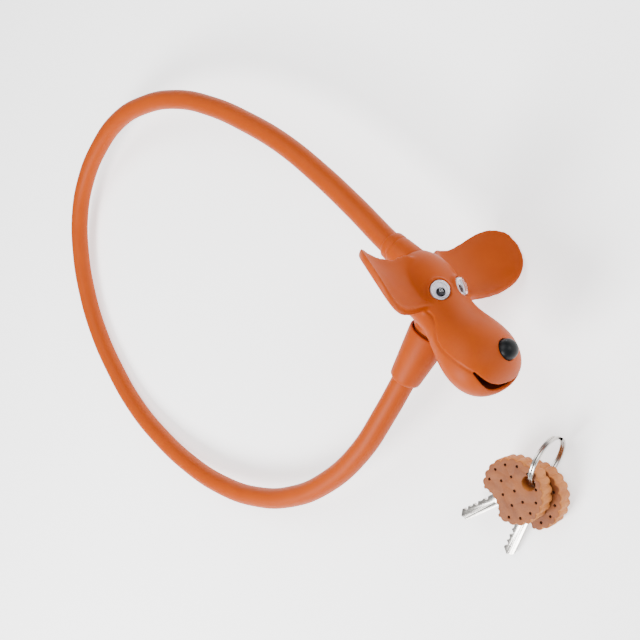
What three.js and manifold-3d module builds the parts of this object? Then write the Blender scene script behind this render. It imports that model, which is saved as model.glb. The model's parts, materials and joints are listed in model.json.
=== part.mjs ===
// A child's bicycle cable lock: a soft dog's head over a key-operated lock body, a stiff
// sheathed cable loop, and two keys with biscuit-shaped grips on a split ring.
// The lock lies on its left ear and on the far side of its loop, with the keys beside it.
// Millimetres, +Z up. The head is drawn in its own frame: +X to the nose, +Y to its left ear,
// +Z to the top of its skull, with the origin where the cable enters the rear collar.
import * as THREE from "three";
import { mergeVertices } from "three/addons/utils/BufferGeometryUtils.js";
import Module from "manifold-3d";

const wasm = await Module();
wasm.setup();

// ---- driving dimensions ----
const GAP = 0.3; // clearance between touching pieces
const CABLE_R = 6; // outside radius of the cable's sheath
const CORE_R = 2.5; // steel rope inside the sheath
const PIN_X = 45; // the locking pin's axis, in front of the cable's entry
const PIN_R = 4;
const PIN_GROOVE_R = 2.8;
const LATCH_Z = -11.2; // underside of the latch plate
const LATCH_THICK = 1.6;
const LATCH_TRAVEL = 2.7; // from open to locked
const PLUG_Z = -17; // the key's axis, below the cable's axis
const PLUG_R = 4.3;
const REAR_R = 6.4; // the lock body's rear, around the cable's ferrule
const HOUSING_R = 5.6; // the lock body's nose, around the plug
const PLUG_BACK = 57.3;
const PLUG_FRONT = 74;
const DRIVE_R = LATCH_TRAVEL / Math.SQRT2; // the plug's drive pin, off its axis
const SKIN = 2.2; // thickness of the soft head
const EYE_R = 4.6;
const FACE_ROLL = 6.3; // the soft head sits this many degrees round on the lock body
const FACE_YAW = 2.6; // and is pulled this many degrees to the right
const YAW_AT = 20; // about the upright line this far forward
const EYE_AT = [43.6, 6.8, 4.1];
const EYE_LOOK = [0.55, 0.4, 0.73]; // direction the left eye faces
const EAR_THICK = 4.4;
const SLEEVE_TOP = -20.6;
const SLEEVE_BOTTOM = -50;
const GRIP_R = 15.2; // biscuit grip, to the bottom of its scallops
const GRIP_THICK = 9;
const BLADE_THICK = 1.9;
const BLADE_WIDE = 6;
const BLADE_REACH = 25; // from the grip's bitten edge to the tip
const RING_R = 12.3; // the split ring's middle line
const HOLE_R = 3.6; // ring hole in each grip
const HOLE_AT = -10.2; // from the grip's middle, away from the blade

// The way the lock lies: the head's own directions that point up and forward.
const LIE_UP = new THREE.Vector3(0.0309, -0.9891, 0.1437).normalize();
// The keys' place and turn on the same surface, in the lock's lying frame.
const KEYS_AT = [119.4, -48.8];
const KEYS_TURN = 283;
const KEYS_TILT = 7;
const UPPER_KEY_TURN = -38;

// Rear end to snout: distance forward, top, bottom, half width.
const HEAD_ROWS = [
  [15.5, 6.6, -8.5, 7.6],
  [18, 8.4, -11.5, 11],
  [22.5, 9.9, -14.4, 14.4],
  [28.5, 10.4, -16.6, 16.6],
  [35.5, 9, -17.8, 17],
  [43, 6, -17.8, 15.8],
  [51, 3.4, -18.6, 15],
  [59, 3.4, -22.4, 16.8],
  [67, 4.6, -25.8, 18.8],
  [75, 4.6, -27.2, 19.6],
  [81.5, 2.6, -26.8, 18.4],
  [86.5, -0.6, -24.8, 15.2],
  [89.8, -4.6, -21.2, 10.6],
  [91.2, -8.2, -17.4, 5.4],
];

// Outline of the left ear, seen along the skull's vertical: forward, outward.
const EAR_OUTLINE = [
  [45.4, 8], [46.4, 18], [47.8, 28], [49.2, 36], [48.8, 43.2], [44.8, 47.8], [37.6, 49.8],
  [28.6, 49.2], [21.6, 45.4], [18.2, 39], [18.2, 30], [19.6, 19], [21, 8],
];

// Middle line of the cable in the head's upright middle plane: forward, up.
const CABLE_ROUTE = [
  [8, 0], [0, 0], [-30, 2], [-62, 3], [-95, 2], [-130, -3], [-165, -11], [-200, -24], [-232, -44],
  [-257, -69], [-271, -98], [-276, -128], [-271, -155], [-256, -179], [-234, -199], [-205, -215],
  [-170, -225], [-135, -229], [-100, -226], [-66, -218], [-34, -205], [-5, -186], [18, -162],
  [34, -134], [43, -103], [45, -72], [45, -50], [45, -43.5],
];

// ---- materials ----
const finish = (color, roughness, metalness = 0) =>
  new THREE.MeshStandardMaterial({ color, roughness, metalness });
const silicone = () => finish(0xd2692d, 0.5);
const nosePlastic = finish(0x23282a, 0.45);
const eyeWhite = finish(0xf4f4ff, 0.3);
const pupilBlack = finish(0x14161c, 0.3);
const clearDome = finish(0xffffff, 0.05);
const zinc = finish(0xa8abb0, 0.5, 0.9);
const brass = finish(0xc9a45a, 0.35, 0.9);
const steel = finish(0xb8bbc0, 0.3, 1);
const nickel = finish(0xc4c2bc, 0.25, 1);
const biscuit = () => finish(0xd79a55, 0.65);
const blackRubber = finish(0x1c1c1c, 0.7);

// ---- solids ----
function solid(geometry) {
  const bare = new THREE.BufferGeometry().setAttribute("position", geometry.attributes.position);
  if (geometry.index) bare.setIndex(geometry.index);
  const merged = mergeVertices(bare, 1e-4);
  return new wasm.Manifold(
    new wasm.Mesh({
      numProp: 3,
      vertProperties: merged.attributes.position.array,
      triVerts: new Uint32Array(merged.index.array),
    }),
  );
}

function geometryOf(manifold) {
  const { vertProperties, triVerts } = manifold.getMesh();
  const geometry = new THREE.BufferGeometry();
  geometry.setAttribute("position", new THREE.BufferAttribute(vertProperties, 3));
  geometry.setIndex(new THREE.BufferAttribute(triVerts, 1));
  return geometry;
}

// The first geometry with the others cut away.
function cut(base, ...tools) {
  return geometryOf(tools.reduce((left, tool) => left.subtract(solid(tool)), solid(base)));
}

function join(...pieces) {
  return geometryOf(pieces.map(solid).reduce((all, piece) => all.add(piece)));
}

function block([x0, x1], [y0, y1], [z0, z1]) {
  const box = new THREE.BoxGeometry(x1 - x0, y1 - y0, z1 - z0);
  return box.translate((x0 + x1) / 2, (y0 + y1) / 2, (z0 + z1) / 2);
}

// Turned about Z. The outline [radius, height] goes up its outer side.
function turned(outline, sides = 24) {
  const points = outline.map(([r, z]) => new THREE.Vector2(r, z));
  return new THREE.LatheGeometry([...points, points[0]], sides).rotateX(Math.PI / 2);
}

// A rod from height z0 to z1 along Z.
function rod(r, z0, z1, sides = 24) {
  return new THREE.CylinderGeometry(r, r, z1 - z0, sides)
    .rotateX(Math.PI / 2)
    .translate(0, 0, (z0 + z1) / 2);
}

const alongX = (geometry) => geometry.rotateY(Math.PI / 2);
const alongY = (geometry) => geometry.rotateX(-Math.PI / 2);

function named(name, geometry, material) {
  const mesh = new THREE.Mesh(geometry, material);
  mesh.name = name;
  return mesh;
}

// ---- soft head ----
// Its pieces are drawn square to the face, which is turned a little on the lock body.
const face = new THREE.Group();
face.rotation.set(
  THREE.MathUtils.degToRad(FACE_ROLL),
  0,
  THREE.MathUtils.degToRad(-FACE_YAW),
);
const yawPoint = new THREE.Vector3(YAW_AT, 0, 0);
face.position.copy(yawPoint).sub(yawPoint.clone().applyEuler(face.rotation));
face.updateMatrix();
const toFace = face.matrix.clone().invert();

// A tool drawn square to the lock body, as the face sees it.
const squareToLock = (geometry) => geometry.applyMatrix4(toFace);

// A closed loft through the head's rows, drawn in on every side by inset.
function headForm(inset) {
  const sides = 28;
  const rings = 22;
  const first = HEAD_ROWS[0][0] + inset;
  const span = HEAD_ROWS.at(-1)[0] - inset - first;
  const tops = new THREE.SplineCurve(HEAD_ROWS.map(([x, top]) => new THREE.Vector2(x, top)));
  const rest = new THREE.SplineCurve(HEAD_ROWS.map((row) => new THREE.Vector2(row[2], row[3])));
  const whole = HEAD_ROWS.at(-1)[0] - HEAD_ROWS[0][0];
  const form = new THREE.SphereGeometry(1, sides, rings);
  const at = form.attributes.position;
  for (let i = 0; i < at.count; i++) {
    const across = -at.getZ(i);
    const up = at.getX(i);
    const ring = (Math.acos(THREE.MathUtils.clamp(at.getY(i), -1, 1)) / Math.PI) * rings;
    const along = THREE.MathUtils.clamp((ring - 1) / (rings - 2), 0, 1);
    const [x, top] = tops.getPoint(along).toArray();
    const [bottom, half] = rest.getPoint(along).toArray();
    const reach = Math.hypot(across, up);
    const angle = Math.atan2(up, across);
    const open = reach < 1e-6 ? 0 : 1;
    const squarer = (value) => Math.sign(value) * Math.abs(value) ** 0.92 * open;
    const low = 1 - 0.06 * Math.sin(angle); // a little wider below than above
    at.setXYZ(
      i,
      first + ((x - HEAD_ROWS[0][0]) / whole) * span,
      squarer(Math.cos(angle)) * (half - inset) * low,
      (top + bottom) / 2 + squarer(Math.sin(angle)) * ((top - bottom) / 2 - inset),
    );
  }
  return form;
}

// The smile: a crescent cut through the front of the muzzle.
function mouthCut() {
  const smile = new THREE.Shape();
  smile.moveTo(-17.4, -7.8);
  smile.quadraticCurveTo(0, -19.2, 17.4, -7.8);
  smile.quadraticCurveTo(0, -28.6, -17.4, -7.8);
  const settings = { depth: 22, bevelEnabled: false, curveSegments: 10 };
  const through = new THREE.ExtrudeGeometry(smile, settings);
  const forward = new THREE.Vector3(1, 0, 0);
  const outward = new THREE.Vector3(0, 1, 0);
  const up = new THREE.Vector3(0, 0, 1);
  const turn = new THREE.Matrix4().makeBasis(outward, up, forward);
  return through.applyMatrix4(turn).translate(77.5, 0, 0).rotateX(-0.057);
}

// Places a piece that is drawn about Z on one eye's axis; side is 1 for the left eye.
function onEye(geometry, side) {
  const look = new THREE.Vector3(EYE_LOOK[0], side * EYE_LOOK[1], EYE_LOOK[2]).normalize();
  const turn = new THREE.Quaternion().setFromUnitVectors(new THREE.Vector3(0, 0, 1), look);
  return geometry.applyQuaternion(turn).translate(EYE_AT[0], side * EYE_AT[1], EYE_AT[2]);
}

const NOSE_R = 4.9;
const NOSE_AT = [84.4, 0.8, 0.9];
const NOSE_LEAN = 0.75; // from the skull's vertical towards the front
const onNose = (geometry) => geometry.rotateY(NOSE_LEAN).translate(...NOSE_AT);

function headSkin() {
  return cut(
    headForm(0),
    headForm(SKIN),
    mouthCut(),
    squareToLock(rod(9.6 + GAP, -30, -12, 32).translate(PIN_X, 0, 0)),
    squareToLock(alongX(rod(8.2 + GAP, 4, 19))),
    squareToLock(alongX(rod(REAR_R + GAP, 17, 40))),
    squareToLock(rod(11.2, -34, SLEEVE_TOP + 0.5, 32).translate(PIN_X, 0, 0)),
    squareToLock(alongX(rod(HOUSING_R + GAP, 54.6, 76)).translate(0, 0, PLUG_Z)),
    onEye(rod(EYE_R + 0.5, -1.6, 8), 1),
    onEye(rod(EYE_R + 0.5, -1.6, 8), -1),
    onNose(rod(2.3, -6, 4, 16)),
    onNose(new THREE.SphereGeometry(NOSE_R + GAP, 20, 12).scale(1, 1, 0.94)),
  );
}

// One dished ear, as a flattened ball whose rim follows the outline.
function earForm(side) {
  const outline = new THREE.CatmullRomCurve3(
    EAR_OUTLINE.map(([x, y]) => new THREE.Vector3(x, y, 0)),
    true,
  );
  const middle = new THREE.Vector2(33, 30);
  const form = new THREE.SphereGeometry(1, 30, 10);
  const at = form.attributes.position;
  for (let i = 0; i < at.count; i++) {
    const spread = Math.hypot(at.getX(i), at.getZ(i));
    const turn = (Math.atan2(at.getZ(i), at.getX(i)) / (2 * Math.PI) + 1) % 1;
    const rim = outline.getPoint(spread < 1e-6 ? 0 : turn);
    const fill = Math.sin((spread * Math.PI) / 2);
    const x = middle.x + (rim.x - middle.x) * fill * (spread < 1e-6 ? 0 : 1);
    const y = middle.y + (rim.y - middle.y) * fill * (spread < 1e-6 ? 0 : 1);
    const thick = Math.sign(at.getY(i)) * Math.abs(at.getY(i)) ** 0.3 * (EAR_THICK / 2);
    const dish = 0.0165 * (y - 19) ** 2;
    const lean = 0.28 * (37 - x);
    at.setXYZ(i, x, side * y, dish + lean + thick);
  }
  if (side > 0) form.index.array.reverse();
  return form;
}

// The ears stay square to the lock body while the face between them is pulled round.
function ear(side) {
  const square = new THREE.Matrix4()
    .makeTranslation(YAW_AT, 0, 0)
    .multiply(new THREE.Matrix4().makeRotationZ(THREE.MathUtils.degToRad(FACE_YAW)))
    .multiply(new THREE.Matrix4().makeTranslation(-YAW_AT, 0, 0));
  return cut(earForm(side).applyMatrix4(square), headForm(-GAP));
}

// ---- eyes and nose ----
const CUP_OUTLINE = [
  [0, -1.2], [EYE_R, -1.2], [EYE_R, 0.9], [EYE_R - 0.7, 0.9], [EYE_R - 0.7, -0.4], [0, -0.4],
];
const eyeCup = (side) => onEye(turned(CUP_OUTLINE), side);
const pupil = (side) => onEye(rod(2.2, 0, 0.7, 20).translate(1, 0, 0), side);

function eyeDome(side) {
  const outer = [];
  const inner = [];
  for (let i = 0; i <= 4; i++) {
    const a = (i / 4) * (Math.PI / 2);
    outer.push([Math.cos(a) * (EYE_R - 0.1), 1.2 + Math.sin(a) * 2.3]);
    inner.unshift([Math.cos(a) * (EYE_R - 0.9), 1.2 + Math.sin(a) * 1.5]);
  }
  return onEye(turned([...outer, ...inner], 20), side);
}

const nose = () =>
  onNose(join(new THREE.SphereGeometry(NOSE_R, 20, 10).scale(1, 1, 0.94), rod(2, -5.5, 0, 12)));

// ---- lock ----
function neckHousing() {
  return turned(
    [[4.4, -33], [7.8, -33], [8, -32.4], [8, -30.4], [7.3, -30.4], [7.3, -28], [8, -28], [8.4, -19.8],
      [9.6, -19.2], [9.6, -13], [4.4, -13]],
    32,
  ).translate(PIN_X, 0, 0);
}

const sealRing = () =>
  turned([[7.6, -30.1], [8.5, -30.1], [8.8, -29.2], [8.5, -28.3], [7.6, -28.3]]).translate(PIN_X, 0, 0);

// The cavities that the lock body and its cover share.
const latchRoom = () => block([37.5, 57], [-8.2, 9.1], [LATCH_Z - GAP, LATCH_Z + LATCH_THICK + GAP]);
const crossPin = (r) => alongY(rod(r, -6.8, 6.8, 12)).translate(29, 0, 0);
const coverScrew = (r, x) => alongY(rod(r, 4, 9.6, 12)).translate(x, 0, -5);

function lockBody() {
  const body = join(
    alongX(rod(REAR_R, 20, 38)),
    block([30, 38], [-REAR_R, REAR_R], [-12.6, 0]),
    block([36, 58.5], [-9, 9], [-12.6, -2.4]),
    block([54.5, 66], [-5.6, 5.6], [-17, -4]),
    alongX(rod(HOUSING_R, PLUG_BACK - 0.3, PLUG_FRONT)).translate(0, 0, PLUG_Z),
  );
  return cut(
    body,
    alongX(rod(4.9, 15, 35)),
    crossPin(1.3),
    rod(PIN_R + GAP, -20, -3.4).translate(PIN_X, 0, 0),
    latchRoom(),
    block([53.9, 57.2], [-5.6, 9.1], [-26, LATCH_Z + LATCH_THICK + GAP]),
    alongX(rod(PLUG_R + GAP, 56, 80)).translate(0, 0, PLUG_Z),
    coverScrew(0.8, 40),
    coverScrew(0.8, 46),
  );
}

function latchCover() {
  return cut(
    block([36, 58.5], [9.3, 10.4], [-11.9, -3]),
    coverScrew(1.3, 40).translate(0, 4, 0),
    coverScrew(1.3, 46).translate(0, 4, 0),
  );
}

function screw(x) {
  const shank = coverScrew(0.7, x).translate(0, 2.4, 0);
  return join(shank, alongY(rod(1.7, 10.7, 11.4, 12)).translate(x, 0, -5));
}

// A keyhole plate that slides across the pin, with a fork that the plug's drive pin moves.
// It is drawn open, with its wide hole round the pin, and locks by sliding to the right.
function latchPlate() {
  const plate = block([38.5, 56.4], [-5.4, 7.8], [LATCH_Z, LATCH_Z + LATCH_THICK]);
  const fork = block([54.9, 56.4], [-2, 4.6], [PLUG_Z - 2.3, LATCH_Z + 0.4]);
  const neck = PIN_GROOVE_R + 0.4;
  const drive = DRIVE_R * Math.SQRT1_2;
  return cut(
    join(plate, fork),
    rod(PIN_R + 0.5, -14, -6).translate(PIN_X, 0, 0),
    block([PIN_X - neck, PIN_X + neck], [0, LATCH_TRAVEL], [-14, -6]),
    rod(neck, -14, -6).translate(PIN_X, LATCH_TRAVEL, 0),
    block([50.2, 54.2], [-1, 9], [-14, -6]),
    block([54, 57], [drive - 1.2, drive + 1.2], [PLUG_Z - 3, PLUG_Z + 1.6]),
  );
}

class Coil extends THREE.Curve {
  constructor(radius, length, turns) {
    super();
    Object.assign(this, { radius, length, turns });
  }
  getPoint(t, target = new THREE.Vector3()) {
    const a = t * this.turns * 2 * Math.PI;
    return target.set(this.radius * Math.cos(a), this.radius * Math.sin(a), t * this.length);
  }
}

function roundSection(r, sides) {
  const ring = [];
  for (let i = 0; i < sides; i++) {
    const a = (i / sides) * 2 * Math.PI;
    ring.push(new THREE.Vector2(r * Math.cos(a), r * Math.sin(a)));
  }
  return new THREE.Shape(ring);
}

function tube(section, path, steps) {
  return new THREE.ExtrudeGeometry(section, { steps, extrudePath: path, bevelEnabled: false });
}

const latchSpring = () =>
  alongY(tube(roundSection(0.22, 5), new Coil(0.85, 9.2, 5), 45)).translate(52.2, -0.4, LATCH_Z + 0.8);

// The plug carries the wafers and turns with the key.
const WAFER_X = [61, 64, 67, 70];

function keyPlug() {
  const across = [-4.5, 4.5];
  const drive = alongX(rod(0.8, 55.2, PLUG_BACK + 1, 12)).translate(
    0,
    DRIVE_R * Math.SQRT1_2,
    PLUG_Z - DRIVE_R * Math.SQRT1_2,
  );
  return cut(
    join(alongX(rod(PLUG_R, PLUG_BACK, PLUG_FRONT - 0.6)).translate(0, 0, PLUG_Z), drive),
    block([58.5, 80], [-3.2, 3.2], [PLUG_Z - 1.2, PLUG_Z + 1.2]),
    ...WAFER_X.map((x) => block([x - 0.75, x + 0.75], across, [PLUG_Z - 2.5, PLUG_Z + 2.5])),
  );
}

const wafer = (x) =>
  cut(
    block([x - 0.45, x + 0.45], [-3.55, 3.55], [PLUG_Z - 2.2, PLUG_Z + 2.2]),
    block([x - 2, x + 2], [-3.1, 3.1], [PLUG_Z - 1.15, PLUG_Z + 1.15]),
  );

const escutcheon = () =>
  alongX(turned([[3.8, PLUG_FRONT + GAP], [HOUSING_R, PLUG_FRONT + GAP], [HOUSING_R, PLUG_FRONT + 1.2],
    [3.8, PLUG_FRONT + 1.2]])).translate(0, 0, PLUG_Z);

// ---- cable ends ----
const rearCollar = () =>
  alongX(turned([[6.3, 1], [6.8, 1], [7.3, 1.8], [8.2, 18], [4.9, 18], [4.9, 9], [6.3, 9]]));
const fixedFerrule = () =>
  cut(alongX(turned([[CORE_R + GAP, 9.4], [4.6, 9.4], [4.6, 34], [CORE_R + GAP, 34]])), crossPin(1.3));
const pinFerrule = () =>
  turned([[CORE_R + GAP, -42.8], [5.4, -42.8], [5.4, -35.4], [CORE_R + GAP, -35.4]]).translate(PIN_X, 0, 0);

function lockingPin() {
  const groove = [LATCH_Z + LATCH_THICK + 0.5, LATCH_Z - 0.5];
  return turned([[0, -35], [5.4, -35], [5.4, -34.2], [PIN_R, -34.2], [PIN_R, groove[1] - 0.4],
    [PIN_GROOVE_R, groove[1]], [PIN_GROOVE_R, groove[0]], [PIN_R, groove[0] + 0.4], [PIN_R, -6.2],
    [2.4, -4.4], [0, -4.4]]).translate(PIN_X, 0, 0);
}

function releaseSleeve() {
  return turned(
    [[CABLE_R + GAP, SLEEVE_BOTTOM], [7.2, SLEEVE_BOTTOM], [7.9, SLEEVE_BOTTOM + 0.8],
      [10.6, SLEEVE_TOP - 1], [10.4, SLEEVE_TOP], [9.4, SLEEVE_TOP], [9.1, -34], [5.7, -34],
      [5.7, -43.1], [CABLE_R + GAP, -43.1]],
    32,
  ).translate(PIN_X, 0, 0);
}

// ---- cable ----
const routePoint = ([x, z]) => new THREE.Vector3(x, 0, z);
const cableLine = new THREE.CatmullRomCurve3(CABLE_ROUTE.map(routePoint), false, "centripetal");
const coreLine = new THREE.CatmullRomCurve3(
  [[23, 0], ...CABLE_ROUTE, [PIN_X, -37]].map(routePoint),
  false,
  "centripetal",
);

function cableSheath() {
  const ring = roundSection(CABLE_R, 12);
  ring.holes.push(new THREE.Path(roundSection(CORE_R + 0.7, 8).getPoints().reverse()));
  return tube(ring, cableLine, 36);
}

const cableCore = () => tube(roundSection(CORE_R, 8), coreLine, 38);

// ---- keys ----
// A key lies in XY about its grip's middle, with the blade towards +X.
const BITE = [GRIP_R + 6.4, 0, 10.6]; // middle and radius of the bite in the grip's edge

function gripOutline() {
  const scallops = 22;
  const outline = [];
  for (let i = 0; i < scallops * 4; i++) {
    const a = (i / (scallops * 4)) * 2 * Math.PI;
    const r = GRIP_R + 1.1 * Math.abs(Math.sin((a * scallops) / 2));
    outline.push(new THREE.Vector2(r * Math.cos(a), r * Math.sin(a)));
  }
  return new THREE.Shape(outline);
}

function keyGrip() {
  const disc = new THREE.ExtrudeGeometry(gripOutline(), { depth: GRIP_THICK, bevelEnabled: false });
  const slot = BLADE_THICK / 2 + GAP;
  return cut(
    disc.translate(0, 0, -GRIP_THICK / 2),
    rod(BITE[2], -GRIP_THICK, GRIP_THICK).translate(BITE[0], BITE[1], 0),
    rod(HOLE_R, -GRIP_THICK, GRIP_THICK, 16).translate(HOLE_AT, 0, 0),
    block([-4 - GAP, GRIP_R + 4], [-5 - GAP, 5 + GAP], [-slot, slot]),
  );
}

function keyBlade() {
  const root = BITE[0] - BITE[2];
  const half = BLADE_WIDE / 2;
  const blade = new THREE.Shape();
  blade.moveTo(-4, -5);
  blade.lineTo(root + 1, -5);
  blade.lineTo(root + 1, -half);
  const notches = 5;
  const pitch = (BLADE_REACH - 8) / notches;
  const depths = [1.2, 0.5, 1.5, 0.8, 1.3];
  for (let i = 0; i < notches; i++) {
    const x = root + 5 + i * pitch;
    blade.lineTo(x, -half);
    blade.lineTo(x + pitch * 0.3, -half + depths[i]);
    blade.lineTo(x + pitch * 0.6, -half + depths[i]);
    blade.lineTo(x + pitch * 0.9, -half);
  }
  blade.lineTo(root + BLADE_REACH - 2.4, -half);
  blade.lineTo(root + BLADE_REACH, -0.4);
  blade.lineTo(root + BLADE_REACH - 0.6, 1.4);
  blade.lineTo(root + BLADE_REACH - 2.4, half);
  blade.lineTo(root + 1, half);
  blade.lineTo(root + 1, 5);
  blade.lineTo(-4, 5);
  const bar = new THREE.ExtrudeGeometry(blade, { depth: BLADE_THICK, bevelEnabled: false });
  const groove = block([root + 3, root + BLADE_REACH + 2], [0.6, 1.6], [0.45, 2]);
  return cut(bar.translate(0, 0, -BLADE_THICK / 2), groove);
}

const splitRing = () =>
  turned([[RING_R - 0.7, -1.2], [RING_R + 0.7, -1.2], [RING_R + 0.7, 1.2], [RING_R - 0.7, 1.2]], 40);

// ---- assembly ----
const head = new THREE.Group();
face.add(named("head_skin", headSkin(), silicone()), named("nose", nose(), nosePlastic));
for (const [word, side] of [["left", 1], ["right", -1]]) {
  face.add(
    named("ear_" + word, ear(side), silicone()),
    named("eye_cup_" + word, eyeCup(side), eyeWhite),
    named("pupil_" + word, pupil(side), pupilBlack),
    named("eye_dome_" + word, eyeDome(side), clearDome),
  );
}
head.add(
  face,
  named("neck_housing", neckHousing(), silicone()),
  named("seal_ring", sealRing(), blackRubber),
  named("lock_body", lockBody(), zinc),
  named("latch_cover", latchCover(), zinc),
  named("cover_screw_1", screw(40), steel),
  named("cover_screw_2", screw(46), steel),
  named("latch_plate", latchPlate(), steel),
  named("latch_spring", latchSpring(), steel),
  named("key_plug", keyPlug(), brass),
  named("escutcheon", escutcheon(), nickel),
  named("rear_collar", rearCollar(), silicone()),
  named("fixed_ferrule", fixedFerrule(), steel),
  named("ferrule_pin", crossPin(1), steel),
  named("pin_ferrule", pinFerrule(), steel),
  named("locking_pin", lockingPin(), steel),
  named("release_sleeve", releaseSleeve(), silicone()),
  named("cable_sheath", cableSheath(), silicone()),
  named("cable_core", cableCore(), steel),
);
WAFER_X.forEach((x, i) => head.add(named("wafer_" + (i + 1), wafer(x), brass)));

// Lay the head down with LIE_UP upright and the nose's direction level with +X.
const level = new THREE.Vector3(1, 0, 0).projectOnPlane(LIE_UP).normalize();
const across = new THREE.Vector3().crossVectors(LIE_UP, level);
head.quaternion.setFromRotationMatrix(new THREE.Matrix4().makeBasis(level, across, LIE_UP).transpose());
head.updateMatrixWorld(true);
head.position.z = -new THREE.Box3().setFromObject(head, true).min.z;

// Both keys hang on the upright ring: the stack tilts on the lower grip's bitten edge.
const keys = new THREE.Group();
const stack = new THREE.Group();
const lowerKey = new THREE.Group();
const upperKey = new THREE.Group();
lowerKey.add(
  named("key_b_grip", keyGrip(), biscuit()),
  named("key_b_blade", keyBlade(), nickel),
);
upperKey.add(
  named("key_a_grip", keyGrip(), biscuit()),
  named("key_a_blade", keyBlade(), nickel),
);
lowerKey.position.set(-HOLE_AT, 0, GRIP_THICK / 2);
const swing = THREE.MathUtils.degToRad(UPPER_KEY_TURN);
upperKey.position.set(-HOLE_AT * Math.cos(swing), -HOLE_AT * Math.sin(swing), GRIP_THICK * 1.5 + GAP);
upperKey.rotation.z = swing;
const ring = named("split_ring", splitRing(), nickel);
ring.geometry.rotateX(Math.PI / 2);
ring.position.set(-RING_R + 1.8, 0, GRIP_THICK + GAP / 2);
stack.add(lowerKey, upperKey, ring);
stack.rotation.y = THREE.MathUtils.degToRad(KEYS_TILT);
keys.add(stack);
keys.rotation.z = THREE.MathUtils.degToRad(KEYS_TURN);
keys.position.set(KEYS_AT[0], KEYS_AT[1], 0);
keys.updateMatrixWorld(true);
keys.position.z = -new THREE.Box3().setFromObject(keys, true).min.z;

const lock = new THREE.Group();
lock.add(head, keys);

// The origin is under the middle of everything but the cable.
const base = new THREE.Box3();
lock.traverse((piece) => {
  if (piece.isMesh && !piece.name.startsWith("cable_")) base.expandByObject(piece, true);
});
lock.position.set(-(base.min.x + base.max.x) / 2, -(base.min.y + base.max.y) / 2, 0);
export default lock;
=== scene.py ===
# A child's bicycle cable lock: a soft orange dog's head over a keyed lock body, a stiff
# sheathed cable loop, and two keys with biscuit grips on a split ring.
import json
import math

import bpy
from mathutils import Matrix, Vector

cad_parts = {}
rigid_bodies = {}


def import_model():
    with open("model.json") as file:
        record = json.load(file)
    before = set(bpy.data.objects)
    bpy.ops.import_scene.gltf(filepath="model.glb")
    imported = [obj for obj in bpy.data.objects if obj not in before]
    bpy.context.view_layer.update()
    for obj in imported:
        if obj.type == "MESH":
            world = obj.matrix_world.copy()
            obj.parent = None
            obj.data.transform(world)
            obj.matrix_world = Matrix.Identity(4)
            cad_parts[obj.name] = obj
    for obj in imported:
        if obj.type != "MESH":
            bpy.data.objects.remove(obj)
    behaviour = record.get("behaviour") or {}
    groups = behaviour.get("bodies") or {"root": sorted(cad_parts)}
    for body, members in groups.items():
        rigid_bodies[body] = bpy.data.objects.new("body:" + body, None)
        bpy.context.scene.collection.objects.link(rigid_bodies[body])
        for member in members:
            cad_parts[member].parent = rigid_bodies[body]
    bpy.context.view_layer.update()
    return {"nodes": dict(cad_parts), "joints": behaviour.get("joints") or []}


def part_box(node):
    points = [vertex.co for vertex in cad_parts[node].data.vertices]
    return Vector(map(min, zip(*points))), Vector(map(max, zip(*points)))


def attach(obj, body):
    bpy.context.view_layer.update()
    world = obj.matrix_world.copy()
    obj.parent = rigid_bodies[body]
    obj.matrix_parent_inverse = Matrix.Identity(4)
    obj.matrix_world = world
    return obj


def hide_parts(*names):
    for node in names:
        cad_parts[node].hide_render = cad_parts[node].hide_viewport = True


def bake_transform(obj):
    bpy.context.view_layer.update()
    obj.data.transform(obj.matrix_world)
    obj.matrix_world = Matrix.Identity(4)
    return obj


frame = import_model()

# ---- Where the head lies ----
# The head's pieces are drawn in millimetres, x to the nose, y to the left ear and z to the top
# of the skull, with zero where the cable enters its collar. HEAD lays them down in metres.
MM = 0.001
PLUG_AXIS_AT = (65, 0, -17)
joint = {each["name"]: each for each in frame["joints"]}
forward = Vector(joint["plug_turn"]["axis"])
skull_up = -Vector(joint["pin_release"]["axis"])
left = skull_up.cross(forward)
HEAD = Matrix((forward, left, skull_up)).transposed().to_4x4()
HEAD.translation = Vector(joint["plug_turn"]["pos_m"]) - HEAD.to_3x3() @ Vector(PLUG_AXIS_AT) * MM
HEAD = HEAD @ Matrix.Scale(MM, 4)

# ---- Camera ----
# Near the keys' end, looking down and back at the face, with the loop running away from it.
EYE_POINT = Vector((231.35, -316.39, 158.7))
VIEW_RIGHT = Vector((0.6005, 0.4764, -0.6423))
VIEW_UP = Vector((-0.6069, 0.7944, 0.0218))
lens_data = bpy.data.cameras.new("camera")
lens_data.sensor_width = 36
lens_data.lens = 47.81
camera = bpy.data.objects.new("camera", lens_data)
bpy.context.scene.collection.objects.link(camera)
view_back = VIEW_RIGHT.cross(VIEW_UP).normalized()
view_up = view_back.cross(VIEW_RIGHT).normalized()
camera.matrix_world = Matrix((VIEW_RIGHT.normalized(), view_up, view_back)).transposed().to_4x4()
camera.location = HEAD @ EYE_POINT
bpy.context.scene.camera = camera

# ---- Cable sheath ----
# The loop's outside: a 12 mm silicone sheath over steel rope, stiff enough to hold its curve.
# It runs from the rear collar right round to the release sleeve.
SHEATH_R = 6
ORANGE = (0.31, 0.044, 0.0005)
PALE_ORANGE = (0.37, 0.055, 0.0009)
SHEATH_ROUTE = [
    (8, 0), (0, 0), (-30, 2), (-62, 3), (-95, 2), (-130, -3), (-165, -11), (-200, -24),
    (-232, -44), (-257, -69), (-271, -98), (-276, -128), (-271, -155), (-256, -179),
    (-234, -199), (-205, -215), (-170, -225), (-135, -229), (-100, -226), (-66, -218),
    (-34, -205), (-5, -186), (18, -162), (34, -134), (43, -103), (45, -72), (45, -50),
    (45, -43.5),
]


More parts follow.
